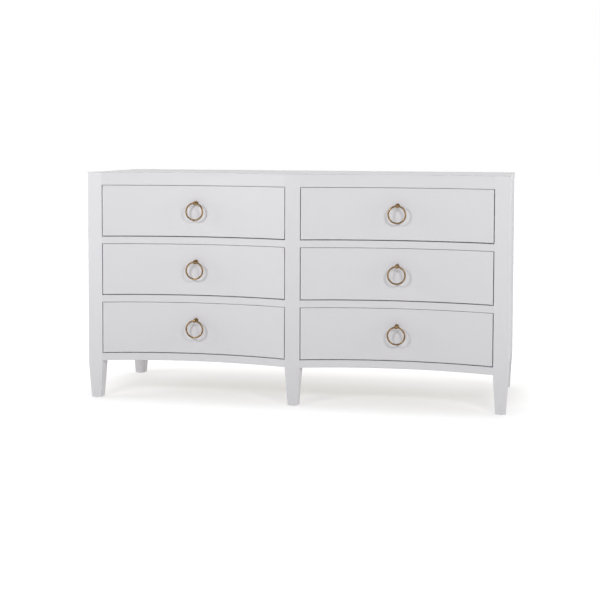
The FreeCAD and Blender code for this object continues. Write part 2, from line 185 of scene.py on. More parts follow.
# satin paint: nearly even, with faint clouds, the skin of a sprayed coat and a trace of the grain below
paintLook = {
    "colour": (0.800, 0.792, 0.822),
    "cloudColour": (0.782, 0.776, 0.798),
    "cloudScale": 2.2,
    "skinScale": 420.0,
    "skinHeight": 0.000012,
    "fibresAlong": 5.0,
    "fibresAcross": 190.0,
    "fibreHeight": 0.00004,
    "fibreShare": 0.4,
    "smoothest": 0.46,
    "roughest": 0.58,
}


def paintedSurface(shade, look):
    point = shade.node("ShaderNodeTexCoord", output="Object")
    clouds = noise(shade, point, look["cloudScale"], detail=4.0)
    scales = [look["fibresAcross"]] * 3
    scales["xyz".index(look["grainAxis"])] = look["fibresAlong"]
    fibres = noise(shade, stretched(shade, point, tuple(scales)), 1.0, detail=4.0, rough=0.6)
    skin = noise(shade, point, look["skinScale"], detail=2.0)
    return {
        "Base Color": blendColours(shade, clouds, look["cloudColour"], look["colour"]),
        "Roughness": between(look["smoothest"], look["roughest"],
                             mixed(clouds, fibres, look["fibreShare"])),
        "Normal": bumped(shade, fibres * look["fibreHeight"] + skin * look["skinHeight"]),
    }


levelPaint = newFinish("satinPaintLevel", paintedSurface, {**paintLook, "grainAxis": "x"})
uprightPaint = newFinish("satinPaintUpright", paintedSurface, {**paintLook, "grainAxis": "z"})


# bare wood, as a solid block: every board carries its own place in the tree as the attribute "grain"
drawerWoodLook = {
    "early": (0.640, 0.470, 0.300),
    "late": (0.540, 0.372, 0.218),
    "ringsPerMetre": 85.0,
    "ringStops": (0.10, 0.62, 0.86, 0.97),
    "waver": 5.0,
    "waverScales": (1.1, 7.0, 7.0),
    "pithAcross": 0.35,
    "pithBelow": 0.06,
    "fibreScales": (14.0, 700.0, 700.0),
    "fibreShare": 0.25,
    "poreStops": (0.30, 0.44),
    "poreShade": 0.80,
    "smoothest": 0.38,
    "roughest": 0.52,
    "fibreHeight": 0.00003,
}
hardwoodLook = {
    **drawerWoodLook,
    "early": (0.600, 0.440, 0.270),
    "late": (0.430, 0.280, 0.150),
    "ringsPerMetre": 240.0,
    "smoothest": 0.55,
    "roughest": 0.70,
    "fibreHeight": 0.00006,
}


def woodColour(shade, grain, look):
    # rings round a wavering pith, with a sharp dark edge to each, and fine pores along the grain
    waver = noise(shade, stretched(shade, grain, look["waverScales"]), 1.0)
    across = part(shade, grain, "Y") + look["pithAcross"]
    thick = part(shade, grain, "Z") + look["pithBelow"]
    fromPith = (across * across + thick * thick) ** 0.5
    ring = (fromPith * look["ringsPerMetre"] + waver * look["waver"]) % 1.0
    fibres = noise(shade, stretched(shade, grain, look["fibreScales"]), 1.0, rough=0.6)
    colours = (look["early"], look["early"], look["late"], look["early"])
    tone = ramp(shade, mixed(ring, fibres, look["fibreShare"]), list(zip(look["ringStops"], colours)))
    pores = whiteAbove(shade, fibres, look["poreStops"], look["poreShade"])
    return multiplied(shade, tone, pores), fibres


def woodSurface(shade, look):
    grain = shade.node("ShaderNodeAttribute", {"attribute_name": "grain"}, output="Vector")
    colour, fibres = woodColour(shade, grain, look)
    return {
        "Base Color": colour,
        "Roughness": between(look["roughest"], look["smoothest"], fibres),
        "Normal": bumped(shade, fibres * look["fibreHeight"]),
    }


drawerWood = newFinish("drawerWood", woodSurface, drawerWoodLook)
hardwood = newFinish("caseHardwood", woodSurface, hardwoodLook)


# plywood: a solid stack of plies, so that the faces show one veneer and the edges show them all
plyLook = {
    **drawerWoodLook,
    "early": (0.640, 0.495, 0.325),
    "late": (0.540, 0.395, 0.240),
    "ringsPerMetre": 14.0,
    "waver": 8.0,
    "pithBelow": 0.015,
    "plyThickness": 0.0012,
    "glueStops": (0.0, 0.12),
    "glueShade": 0.55,
    "smoothest": 0.50,
    "roughest": 0.65,
}


def plywoodSurface(shade, look):
    grain = shade.node("ShaderNodeAttribute", {"attribute_name": "grain"}, output="Vector")
    depth = shade.node("ShaderNodeAttribute", {"attribute_name": "plyDepth"}, output="Fac")
    ply = depth / look["plyThickness"]
    parity = ply.whole() % 2.0
    crossGrain = shade.node("ShaderNodeVectorRotate", {"rotation_type": "Z_AXIS"},
                            {"Vector": grain, "Angle": math.radians(90)})
    faceColour, faceFibres = woodColour(shade, grain, look)
    crossColour = woodColour(shade, crossGrain, look)[0]
    glue = whiteAbove(shade, ply % 1.0, look["glueStops"], look["glueShade"])
    return {
        "Base Color": multiplied(shade, blendColours(shade, parity, faceColour, crossColour), glue),
        "Roughness": between(look["roughest"], look["smoothest"], faceFibres),
        "Normal": bumped(shade, faceFibres * look["fibreHeight"]),
    }


plywood = newFinish("plywood", plywoodSurface, plyLook)


# antique brass: warm where it is handled, with brown patina in the hollows of its skin
brassLook = {
    "bright": (0.470, 0.315, 0.155),
    "patina": (0.195, 0.118, 0.060),
    "patinaScale": 160.0,
    "speckScale": 900.0,
    "speckShare": 0.3,
    "dulledStops": (0.40, 0.62),
    "smoothest": 0.24,
    "roughest": 0.50,
    "patchHeight": 0.00004,
    "speckHeight": 0.000012,
}


def brassSurface(shade, look):
    point = shade.node("ShaderNodeTexCoord", output="Object")
    patches = noise(shade, point, look["patinaScale"], detail=4.0, rough=0.6)
    specks = noise(shade, point, look["speckScale"], rough=0.6)
    dulled = whiteAbove(shade, mixed(patches, specks, look["speckShare"]), look["dulledStops"])
    return {
        "Base Color": blendColours(shade, dulled, look["bright"], look["patina"]),
        "Metallic": 1.0,
        "Roughness": between(look["smoothest"], look["roughest"], dulled),
        "Normal": bumped(shade, patches * look["patchHeight"] + specks * look["speckHeight"]),
    }


brass = newFinish("antiqueBrass", brassSurface, brassLook)


# zinc-plated steel: a crystalline spangle and drawn lines along the slide
zincLook = {
    "light": (0.500, 0.510, 0.525),
    "dark": (0.380, 0.390, 0.405),
    "spangleScale": 260.0,
    "lineScales": (900.0, 6.0, 900.0),
    "lineColourShare": 0.4,
    "lineRoughShare": 0.5,
    "smoothest": 0.32,
    "roughest": 0.50,
    "lineHeight": 0.000008,
}
screwLook = {
    **zincLook,
    "light": (0.700, 0.680, 0.600),
    "dark": (0.560, 0.540, 0.470),
    "smoothest": 0.20,
}


def zincSurface(shade, look):
    point = shade.node("ShaderNodeTexCoord", output="Object")
    sockets = {"Vector": point, "Scale": look["spangleScale"]}
    spangle = shade.node("ShaderNodeTexVoronoi", None, sockets, "Color")
    crystal = shade.node("ShaderNodeSeparateColor", None, {"Color": spangle})
    lines = noise(shade, stretched(shade, point, look["lineScales"]), 1.0, detail=2.0)
    lightness = mixed(crystal, lines, look["lineColourShare"])
    dullness = mixed(crystal, lines, look["lineRoughShare"])
    return {
        "Base Color": blendColours(shade, lightness, look["dark"], look["light"]),
        "Metallic": 1.0,
        "Roughness": between(look["smoothest"], look["roughest"], dullness),
        "Normal": bumped(shade, lines * look["lineHeight"]),
    }


zinc = newFinish("zincSteel", zincSurface, zincLook)
screwSteel = newFinish("screwSteel", zincSurface, screwLook)


# black plastic of the foot glides and release levers: a fine moulded grain, scuffed paler
plasticLook = {
    "colour": (0.045, 0.045, 0.048),
    "scuff": (0.110, 0.110, 0.112),
    "grainScale": 1500.0,
    "scuffScale": 90.0,
    "scuffStops": (0.52, 0.70),
    "smoothest": 0.42,
    "roughest": 0.62,
    "grainHeight": 0.00001,
}


def plasticSurface(shade, look):
    point = shade.node("ShaderNodeTexCoord", output="Object")
    grain = noise(shade, point, look["grainScale"], detail=2.0)
    patches = noise(shade, point, look["scuffScale"], detail=5.0, rough=0.65)
    scuffs = whiteAbove(shade, patches, look["scuffStops"])
    return {
        "Base Color": blendColours(shade, scuffs, look["colour"], look["scuff"]),
        "Roughness": between(look["smoothest"], look["roughest"], grain),
        "Normal": bumped(shade, grain * look["grainHeight"]),
    }


blackPlastic = newFinish("blackPlastic", plasticSurface, plasticLook)
print("finishes mixed")


# ways of making meshes that several pieces share
def meshFrom(build, name):
    mesh = bpy.data.meshes.new(name)
    build.to_mesh(mesh)
    build.free()
    return mesh


def inScene(name, data):
    made = bpy.data.objects.new(name, data)
    bpy.context.scene.collection.objects.link(made)
    return made


def addPiece(name, mesh, body, finish, slotName, *nodes):
    mesh.name = name
    mesh.materials.clear()
    mesh.materials.append(finish)
    piece = inScene(name, mesh)
    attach(piece, body)
    if nodes:
        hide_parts(*nodes)


def roundOff(mesh, angle=35.0):
    mesh.shade_smooth()
    mesh.set_sharp_from_angle(angle=math.radians(angle))


def facing(place, direction):
    # turns a shape made round the z axis to stand at a place and point in a direction
    turn = Vector(direction).to_track_quat("Z", "Y").to_matrix().to_4x4()
    return Matrix.Translation(place) @ turn


def arc(centre, radius, start, stop, steps):
    # points of an arc in a profile, from one angle to another
    angles = [math.radians(start + (stop - start) * i / steps) for i in range(steps + 1)]
    return [(centre[0] + radius * math.cos(a), centre[1] + radius * math.sin(a)) for a in angles]


def turned(profile, steps, place, closed=False):
    # a lathe: profile points are (distance from the axis, height along it)
    build = bmesh.new()
    rings = []
    for radius, height in profile:
        count = steps if radius > 0 else 1
        spokes = [math.tau * i / steps for i in range(count)]
        rings.append([build.verts.new(place @ Vector((radius * math.cos(a), radius * math.sin(a), height)))
                      for a in spokes])
    for lower, upper in zip(rings, rings[1:] + (rings[:1] if closed else [])):
        for i in range(steps):
            corners = [lower[i % len(lower)], lower[(i + 1) % len(lower)],
                       upper[(i + 1) % len(upper)], upper[i % len(upper)]]
            corners = list(dict.fromkeys(corners))
            if len(corners) > 2:
                build.faces.new(corners)
    bmesh.ops.recalc_face_normals(build, faces=build.faces)
    return build


def evaluated(item):
    return bpy.data.meshes.new_from_object(item.evaluated_get(bpy.context.evaluated_depsgraph_get()))


def combined(first, second, operation):
    # one mesh joined to another, or cut by it
    holder, tool = inScene("blank", first), inScene("tool", second)
    step = holder.modifiers.new("join", "BOOLEAN")
    step.operation = operation
    step.solver = "EXACT"
    step.object = tool
    made = evaluated(holder)
    for item in (holder, tool):
        bpy.data.objects.remove(item)
    return made


def joined(meshes):
    build = bmesh.new()
    for mesh in meshes:
        build.from_mesh(mesh)
    mesh = meshFrom(build, "joined")
    roundOff(mesh)
    return mesh


def addWalls(build, first, second):
    # a band of faces between two outlines with as many points
    for i in range(len(first)):
        j = (i + 1) % len(first)
        build.faces.new((first[i], first[j], second[j], second[i]))


def addBox(build, low, high):
    corners = [build.verts.new((x, y, z))
               for x in (low[0], high[0]) for y in (low[1], high[1]) for z in (low[2], high[2])]
    for side in ((0, 1, 3, 2), (4, 6, 7, 5), (0, 4, 5, 1), (2, 3, 7, 6), (0, 2, 6, 4), (1, 5, 7, 3)):
        build.faces.new([corners[i] for i in side])


# boards: each keeps its CAD shape, with its edges eased, and knows which way its grain runs
boardLook = {
    "eased": 0.0008,
    "sharpAngle": 50.0,
    "shortest": 0.010,
    "probe": 0.0004,
    "flatAngle": 0.5,
    "offsetReach": 3.0,
    "offsetAcross": 0.05,
    "plyInset": 0.001,
}
drawerBoxLook = {
    "bottomLift": 0.008,
    "bottomThickness": 0.006,
    "bottomTongue": 0.006,
    "sideThickness": 0.012,
    "backInset": 0.008,
    "backThickness": 0.012,
    "backTongue": 0.005,
    "backDrop": 0.006,
}


def owns(box, face):
    # the wood just behind the face is in the board's box, and the face looks away from the board's middle
    behind = face.center - face.normal * boardLook["probe"]
    middle = (Vector(box[0]) + Vector(box[1])) / 2
    inside = all(low <= value <= high for low, value, high in zip(box[0], behind, box[1]))
    return inside and (face.center - middle).dot(face.normal) > 0


def splitBoards(node, boxes):
    # each triangle belongs to the first board that owns it, or else to the rest
    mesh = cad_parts[node].data
    groups = {}
    for face in mesh.polygons:
        owner = next((name for name, box in boxes.items() if owns(box, face)), "rest")
        build = groups.setdefault(owner, bmesh.new())
        build.faces.new([build.verts.new(mesh.vertices[i].co) for i in face.vertices])
    for build in groups.values():
        bmesh.ops.remove_doubles(build, verts=build.verts, dist=weldDistance)
        flat = math.radians(boardLook["flatAngle"])
        bmesh.ops.dissolve_limit(build, angle_limit=flat, verts=build.verts, edges=build.edges)
    return groups


def easeEdges(build, width):
    sharp = math.radians(boardLook["sharpAngle"])
    edges = [e for e in build.edges if len(e.link_faces) == 2 and e.calc_face_angle_signed() > sharp
             and e.calc_length() > boardLook["shortest"]]
    bmesh.ops.bevel(build, geom=edges, offset=width, offset_type="OFFSET", segments=2, profile=0.5,
                    affect="EDGES", clamp_overlap=True)


def looseShells(build):
    left = set(build.verts)
    while left:
        shell, edge = set(), [next(iter(left))]
        while edge:
            vertex = edge.pop()
            if vertex in shell:
                continue
            shell.add(vertex)
            edge.extend(e.other_vert(vertex) for e in vertex.link_edges)
        left -= shell
        yield shell


def markGrain(build, draw, plies=0):
    # grain is (along, across, through) from the board's corner, plus a place of its own in the tree
    grain = build.verts.layers.float_vector.new("grain")
    depth = build.verts.layers.float.new("plyDepth")
    inset = boardLook["plyInset"]
    shells = sorted(looseShells(build),
                    key=lambda shell: tuple(round(c, 4) for c in min(tuple(v.co) for v in shell)))
    for shell in shells:
        low = [min(v.co[i] for v in shell) for i in range(3)]
        size = [max(v.co[i] for v in shell) - low[i] for i in range(3)]
        along, across, through = sorted(range(3), key=lambda i: -size[i])
        offset = Vector([draw.uniform(0, boardLook["offsetReach"]) for _ in range(3)])
        offset.yz = offset.yz * boardLook["offsetAcross"]
        for vertex in shell:
            place = [vertex.co[i] - low[i] for i in (along, across, through)]
            vertex[grain] = Vector(place) + offset
            # just inside the faces, so that each face shows its own ply
            share = between(inset, 1 - inset, place[2] / size[through])
            vertex[depth] = plyLook["plyThickness"] * share * plies


def dressBoards(node, pieceName, body, finish, slotName, draw, plies=0):
    build = splitBoards(node, {})["rest"]
    easeEdges(build, boardLook["eased"])
    markGrain(build, draw, plies)
    addPiece(pieceName, meshFrom(build, pieceName), body, finish, slotName, node)


boardDraw = random.Random(11)
caseBoards = {
    "slide_packers": ("slidePackers", hardwood, "case_hardwood", 0),
    "glue_blocks": ("glueBlocks", hardwood, "case_hardwood", 0),
    "rear_centre_stile": ("rearCentreStile", hardwood, "case_hardwood", 0),
    "bottom_panel": ("bottomPanel", plywood, "plywood", 9),
    "centre_partition": ("centrePartition", plywood, "plywood", 13),
    "left_back_panel": ("leftBackPanel", plywood, "plywood", 5),
    "right_back_panel": ("rightBackPanel", plywood, "plywood", 5),
}
for node, (pieceName, finish, slotName, plies) in caseBoards.items():
    dressBoards(node, pieceName, "case", finish, slotName, boardDraw, plies)


def drawerBoards(name, look):
    low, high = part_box(f"{name}_drawer_box")
    middle = (low.x + high.x) / 2
    floorLow = low.z + look["bottomLift"]
    floorHigh = floorLow + look["bottomThickness"]
    halfInside = (high.x - low.x) / 2 - look["sideThickness"]
    halfBottom = halfInside + look["bottomTongue"]
    halfBack = halfInside + look["backTongue"]
    backHigh = high.y - look["backInset"]
    boxes = {
        "bottom": ((middle - halfBottom, low.y, floorLow), (middle + halfBottom, high.y, floorHigh)),
        "back": ((middle - halfBack, backHigh - look["backThickness"], floorHigh),
                 (middle + halfBack, backHigh, high.z - look["backDrop"])),
    }
    groups = splitBoards(f"{name}_drawer_box", boxes)
    for board, finish, plies in (("rest", drawerWood, 0), ("back", drawerWood, 0), ("bottom", plywood, 5)):
        build = groups[board]
        easeEdges(build, boardLook["eased"])
        markGrain(build, boardDraw, plies)
        pieceName = f"{name}_drawer{'Sides' if board == 'rest' else board.capitalize()}"
        addPiece(pieceName, meshFrom(build, pieceName), f"{name}_drawer", finish, "drawer_wood",
                 f"{name}_drawer_box")


for name in drawerNames:
    drawerBoards(name, drawerBoxLook)
print("boards dressed")


# ring pulls
pullLook = {
    "wireRadius": 0.0032,
    "wireSteps": 20,
    "ringSteps": 96,
    "ballRadius": 0.007,
    "boreRadius": 0.004,
    "boreLip": 0.0004,
    "ballSteps": 16,
    "standoff": 0.024,
    "stemRadius": 0.0042,
    "stemNeck": 0.0036,
    "stemEnd": 0.0182,
    "stemTaper": 0.004,
    "flareRadius": 0.0022,
    "flareStep": 0.0008,
    "flareSteps": 4,
    "roseRadius": 0.0085,
    "roseThickness": 0.0025,
    "roseEdge": 0.0010,
    "roseEdgeSteps": 5,
    "postSteps": 40,
    "screwRadius": 0.0020,
    "screwHeadRadius": 0.0045,
    "screwHeadHeight": 0.0026,
    "screwSteps": 24,
    "screwReach": 0.0095,
    "frontThickness": 0.020,
}


def ringMesh(name, look):
    low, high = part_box(f"{name}_pull_ring")
    centre = (low + high) / 2
    radius = (high.x - low.x) / 2 - look["wireRadius"]
    wire = arc((radius, 0.0), look["wireRadius"], 0, 360, look["wireSteps"])[:-1]
    build = turned(wire, look["ringSteps"], facing(centre, (0, -1, 0)), closed=True)
    mesh = meshFrom(build, "ring")
    mesh.shade_smooth()
    return mesh, centre, radius


def boredBall(place, look):
    # turned round its own bore, with a small bevel at each mouth
    radius, bore, lip = look["ballRadius"], look["boreRadius"], look["boreLip"]
    edge = math.degrees(math.acos((bore + lip) / radius))
    outside = arc((0.0, 0.0), radius, -edge, edge, look["ballSteps"])
    end = outside[-1][1] - lip
    return turned(outside + [(bore, end), (bore, -end)], look["postSteps"], place, closed=True)


def postMesh(ball, look):
    seat = ball + Vector((0, look["standoff"], 0))
    edge, radius, thick = look["roseEdge"], look["roseRadius"], look["roseThickness"]
    flare, neck, end = look["flareRadius"], look["stemNeck"], look["stemEnd"]
    profile = [(0.0, 0.0), (radius, 0.0)]
    profile += arc((radius - edge, thick - edge), edge, 0, 90, look["roseEdgeSteps"])
    profile += [(look["stemRadius"] + look["flareStep"], thick)]
    profile += arc((neck + flare, thick + flare), flare, 240, 180, look["flareSteps"])
    profile += [(neck, end - look["stemTaper"]), (look["stemRadius"], end), (0.0, end)]
    stem = meshFrom(turned(profile, look["postSteps"], facing(seat, (0, -1, 0))), "stem")
    bored = meshFrom(boredBall(facing(ball, (1, 0, 0)), look), "ball")
    mesh = combined(bored, stem, "UNION")
    roundOff(mesh)
    return mesh


# a screw's recess and dome, as shares of its head's radius and height
crossLook = {
    "reach": 0.55,
    "width": 0.13,
    "depth": 0.6,
    "narrowing": 0.55,
    "above": 1.5,
    "headRim": 0.35,
    "domeSteps": 5,
    "tip": 0.3,
}


def crossCutter(radius, height, look):
    # one closed cross, narrower at the bottom of the recess than at its mouth
    reach, half = radius * look["reach"], radius * look["width"]
    arm = [(reach, -half), (reach, half), (half, half)]
    outline = [(x * c - y * d, x * d + y * c) for c, d in ((1, 0), (0, 1), (-1, 0), (0, -1)) for x, y in arm]
    levels = ((look["narrowing"], height * (1 - look["depth"])), (1.0, height * look["above"]))
    build = bmesh.new()
    low, high = [[build.verts.new((x * share, y * share, z)) for x, y in outline] for share, z in levels]
    addWalls(build, low, high)
    build.faces.new(list(reversed(low)))
    build.faces.new(high)
    bmesh.ops.triangulate(build, faces=build.faces)
    bmesh.ops.recalc_face_normals(build, faces=build.faces)
    return meshFrom(build, "recess")


def crossHead(radius, height, shankRadius, shankLength, place, steps):
    # a domed screw: its shank runs down the axis from the seat and its head stands above
    look = crossLook
    profile = [(0.0, -shankLength), (shankRadius * look["tip"], -shankLength),
               (shankRadius, -shankLength + shankRadius), (shankRadius, 0.0), (radius, 0.0)]
    for i in range(look["domeSteps"]):
        angle = math.radians(90 * i / look["domeSteps"])
        profile.append((radius * math.cos(angle), height * between(look["headRim"], 1.0, math.sin(angle))))
    profile.append((0.0, height))
    head = meshFrom(turned(profile, steps, Matrix.Identity(4)), "head")
    mesh = combined(head, crossCutter(radius, height, look), "DIFFERENCE")
    if len(mesh.polygons) <= steps:
        raise ValueError("the recess took the whole screw away")
    mesh.transform(place)
    roundOff(mesh)
    return mesh


def dressPull(name, look):
    ring, centre, radius = ringMesh(name, look)
    addPiece(f"{name}_pullRing", ring, f"{name}_ring", brass, "antique_brass", f"{name}_pull_ring")
    ball = centre + Vector((0, 0, radius))
    body, node = f"{name}_drawer", f"{name}_pull_post"
    addPiece(f"{name}_pullPost", postMesh(ball, look), body, brass, "antique_brass", node)
    inside = ball + Vector((0, look["standoff"] + look["frontThickness"], 0))
    screw = crossHead(look["screwHeadRadius"], look["screwHeadHeight"], look["screwRadius"],
                      look["frontThickness"] + look["screwReach"], facing(inside, (0, 1, 0)),
                      look["screwSteps"])
    addPiece(f"{name}_pullScrew", screw, body, screwSteel, "antique_brass", node)


for name in drawerNames:
    dressPull(name, pullLook)
print("pulls hung")


# small pieces that repeat are set out by Geometry Nodes and then made plain meshes
def newTree(name, inputs):
    tree = bpy.data.node_groups.new(name, "GeometryNodeTree")
    for label, kind in inputs:
        tree.interface.new_socket(name=label, in_out="INPUT", socket_type=f"NodeSocket{kind}")
    tree.interface.new_socket(name="Mesh", in_out="OUTPUT", socket_type="NodeSocketGeometry")
    given = Wire(tree).node("NodeGroupInput").socket.node.outputs
    return Wire(tree), {socket.name: Wire(tree, socket) for socket in given if socket.name}


def endTree(build, geometry, finish):
    whole = build.node("GeometryNodeRealizeInstances", None, {"Geometry": geometry})
    dressed = build.node("GeometryNodeSetMaterial", None, {"Geometry": whole, "Material": finish})
    build.node("NodeGroupOutput", None, {"Mesh": dressed})
    return build.tree


def scatterTree():
    # one small piece on every point, each turned by a chance angle up to the named turn
    build, wires = newTree("setOnPoints", [
        ("Points", "Geometry"), ("Piece", "Object"), ("Scale", "Float"),
        ("Most turn", "Vector"), ("Seed", "Int"), ("Finish", "Material")])
    points = build.node("GeometryNodeMeshToPoints", None, {"Mesh": wires["Points"]})
    piece = build.node("GeometryNodeObjectInfo", {"transform_space": "ORIGINAL"},
                       {"Object": wires["Piece"]}, "Geometry")
    turn = build.node("FunctionNodeRandomValue", {"data_type": "FLOAT_VECTOR"},
                      {"Min": (0.0, 0.0, 0.0), "Max": wires["Most turn"], "Seed": wires["Seed"]})
    placed = build.node("GeometryNodeInstanceOnPoints", None,
                        {"Points": points, "Instance": piece, "Rotation": turn, "Scale": wires["Scale"]})
    return endTree(build, placed, wires["Finish"])


def ballRowTree(segments=8, rings=6):
    # a straight row of balls along y from every point
    build, wires = newTree("ballRow", [
        ("Points", "Geometry"), ("Ball radius", "Float"), ("Pitch", "Float"),
        ("Balls in row", "Int"), ("Finish", "Material")])
    ball = build.node("GeometryNodeMeshUVSphere", None,
                      {"Segments": segments, "Rings": rings, "Radius": wires["Ball radius"]})
    ball = build.node("GeometryNodeSetShadeSmooth", None, {"Geometry": ball})
    step = build.node("ShaderNodeCombineXYZ", None, {"Y": wires["Pitch"]})
    row = build.node("GeometryNodeMeshLine", None, {"Count": wires["Balls in row"], "Offset": step})
    row = build.node("GeometryNodeMeshToPoints", None, {"Mesh": row})
    row = build.node("GeometryNodeInstanceOnPoints", None, {"Points": row, "Instance": ball})
    starts = build.node("GeometryNodeMeshToPoints", None, {"Mesh": wires["Points"]})
    rows = build.node("GeometryNodeInstanceOnPoints", None, {"Points": starts, "Instance": row})
    return endTree(build, rows, wires["Finish"])


def grown(tree, places, settings):
    # the tree's result on a set of places, as a plain mesh
    mesh = bpy.data.meshes.new("places")
    mesh.from_pydata(places, [], [])
    holder = inScene("places", mesh)
    step = holder.modifiers.new("grow", "NODES")
    step.node_group = tree
    for item in tree.interface.items_tree:
        if item.in_out == "INPUT" and item.name in settings:
            step[item.identifier] = settings[item.name]
    made = evaluated(holder)
    bpy.data.objects.remove(holder)
    return made


scatter = scatterTree()
ballRow = ballRowTree()


def scattered(mesh, places, mostTurn, seed, finish):
    # a small mesh on each place, each turned by chance up to the limit
    original = bpy.data.objects.new("original", mesh)
    made = grown(scatter, places, {
        "Piece": original, "Scale": 1.0, "Most turn": mostTurn, "Seed": seed, "Finish": finish})
    bpy.data.objects.remove(original)
    return made


screwsLook = {
    "headRadius": 0.0036,
    "headHeight": 0.0022,
    "shankRadius": 0.0017,
    "shankLength": 0.020,
    "edgeDistance": 0.014,
    "across": 5,
    "up": 3,
    "steps": 20,
    "seed": 4,
}


def backScrewPlaces(look):
    places = []
    for side, node in ((-1, "left_back_panel"), (1, "right_back_panel")):
        low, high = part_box(node)
        near, far = (high.x, low.x) if side < 0 else (low.x, high.x)
        edge = look["edgeDistance"]
        run = far - near - 2 * side * edge
        across = [near + side * edge + run * i / (look["across"] - 1) for i in range(look["across"])]
        bottom, top = low.z + edge, high.z - edge
        rising = [bottom + (top - bottom) * i / (look["up"] + 1) for i in range(1, look["up"] + 1)]
        places += [(x, high.y, z) for z in (bottom, top) for x in across]
        places += [(across[0], high.y, z) for z in rising]
    return places


def dressBackScrews(look):
    screw = crossHead(look["headRadius"], look["headHeight"], look["shankRadius"], look["shankLength"],
                      facing((0, 0, 0), (0, 1, 0)), look["steps"])
    mesh = scattered(screw, backScrewPlaces(look), (0.0, math.tau, 0.0), look["seed"], screwSteel)
    addPiece("backPanelScrews", mesh, "case", screwSteel, "screw_steel", "back_panel_screws")


dressBackScrews(screwsLook)

glidesLook = {
    "radius": 0.012,
    "flatShare": 0.4,
    "thickness": 0.0025,
    "edge": 0.0012,
    "edgeSteps": 5,
    "pinRadius": 0.002,
    "pinLength": 0.014,
    "steps": 32,
    "seed": 1,
}


def dressGlides(look):
    edge, radius, thick, pin = look["edge"], look["radius"], look["thickness"], look["pinRadius"]
    top = thick + look["pinLength"]
    profile = [(0.0, 0.0), (radius * look["flatShare"], 0.0)]
    profile += arc((radius - edge, edge), edge, -90, 0, look["edgeSteps"])
    profile += [(radius, thick), (pin, thick), (pin, top), (0.0, top)]
    glide = meshFrom(turned(profile, look["steps"], Matrix.Identity(4)), "glide")
    roundOff(glide)
    places = []
    for leg in ("front_left", "front_centre", "front_right", "rear_left", "rear_right"):
        low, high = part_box(f"{leg}_leg")
        places.append(((low.x + high.x) / 2, (low.y + high.y) / 2, 0.0))
    mesh = scattered(glide, places, (0.0, 0.0, 0.0), look["seed"], blackPlastic)
    addPiece("footGlides", mesh, "case", blackPlastic, "glide_plastic", "foot_glides")


dressGlides(glidesLook)
print("screws and glides set")


# telescopic slides: rolled channels, the balls and cages between them, their screws and release levers
slideLook = {
    "thickness": 0.0127,
    "steel": 0.0015,
    "cabinetHeight": 0.045,
    "cabinetLip": 0.0095,
    "middleWeb": 0.0024,
    "middleLip": 0.0103,
    "drawerLip": 0.0048,
    "bendOutside": 0.0024,
    "bendInside": 0.0009,
    "bendSteps": 5,
    "lipSteps": 6,
    "sharpAngle": 40.0,
    "race": 0.0034,
    "ballRadius": 0.0016,
    "ballPitch": 0.0125,
    "ballsInRow": 16,
    "cageThickness": 0.0006,
    "cageReach": 0.0026,
    "cageEnd": 0.007,
    "cageEdge": 0.00018,
    "screwHead": 0.0040,
    "lowHead": 0.0007,
    "tallHead": 0.0018,
    "screwShank": 0.0016,
    "screwLength": 0.009,
    "screwSteps": 16,
    "screwFirst": 0.038,
    "screwsInRow": 4,
    "screwPitch": 0.112,
    "leverLength": 0.052,
    "leverThickness": 0.0016,
    "leverHeight": 0.015,
    "leverGap": 0.0006,
    "leverEdge": 0.0003,
    "leverHalf": ((-0.5, 0.35), (-0.32, 0.5), (-0.1, 0.5), (0.05, 0.22), (0.38, 0.22), (0.5, 0.1)),
    "leverFromBack": 0.150,
    "seed": 9,
}


def channelOutline(web, lip, middle, height, look):
    # the upper half runs outside bend, lip, inside bend; the lower half mirrors it
    way = 1 if lip > web else -1
    half, steel = height / 2, look["steel"]
    outside, inside = look["bendOutside"], look["bendInside"]
    upper = arc((outside, half - outside), outside, 180, 90, look["bendSteps"])
    upper += arc((abs(lip - web) - steel / 2, half - steel / 2), steel / 2, 90, -90, look["lipSteps"])
    upper += arc((steel + inside, half - steel - inside), inside, 90, 180, look["bendSteps"])
    return [(web + way * x, middle + z) for x, z in upper + [(x, -z) for x, z in reversed(upper)]]


def addChannel(build, web, lip, middle, height, ends, look):
    outline = channelOutline(web, lip, middle, height, look)
    front, back = [[build.verts.new((x, y, z)) for x, z in outline] for y in ends]
    addWalls(build, front, back)
    caps = [build.faces.new(front), build.faces.new(list(reversed(back)))]
    bmesh.ops.triangulate(build, faces=caps)


def slidePlaces(name, look):
    # (x of the face that carries the slide, the way to the drawer, z of the middle, y of the ends)
    boxLow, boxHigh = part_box(f"{name}_drawer_box")
    low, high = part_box(f"{name}_slide_middle_members")
    faces = ((boxLow.x - look["thickness"], 1), (boxHigh.x + look["thickness"], -1))
    return [(face, way, (low.z + high.z) / 2, (low.y, high.y)) for face, way in faces]


def channelsMesh(names, web, lip, height, look):
    build = bmesh.new()
    for name in names:
        for face, way, middle, ends in slidePlaces(name, look):
            addChannel(build, face + way * web, face + way * lip, middle, height, ends, look)
    bmesh.ops.recalc_face_normals(build, faces=build.faces)
    mesh = meshFrom(build, "channels")
    roundOff(mesh, look["sharpAngle"])
    return mesh


def nodeHeight(node):
    low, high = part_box(node)
    return high.z - low.z


def slideScrews(names, depth, toward, headHeight, look):
    # rows of screws through the webs; toward is 1 where the heads face the drawer, else -1
    screws = {way: crossHead(look["screwHead"], headHeight, look["screwShank"], look["screwLength"],
                             facing((0, 0, 0), (way * toward, 0, 0)), look["screwSteps"]) for way in (1, -1)}
    meshes = []
    for name in names:
        for face, way, middle, ends in slidePlaces(name, look):
            places = [(face + way * depth, ends[0] + look["screwFirst"] + i * look["screwPitch"], middle)
                      for i in range(look["screwsInRow"])]
            turn = (math.tau, 0.0, 0.0)
            meshes.append(scattered(screws[way], places, turn, look["seed"], screwSteel))
    return joined(meshes)


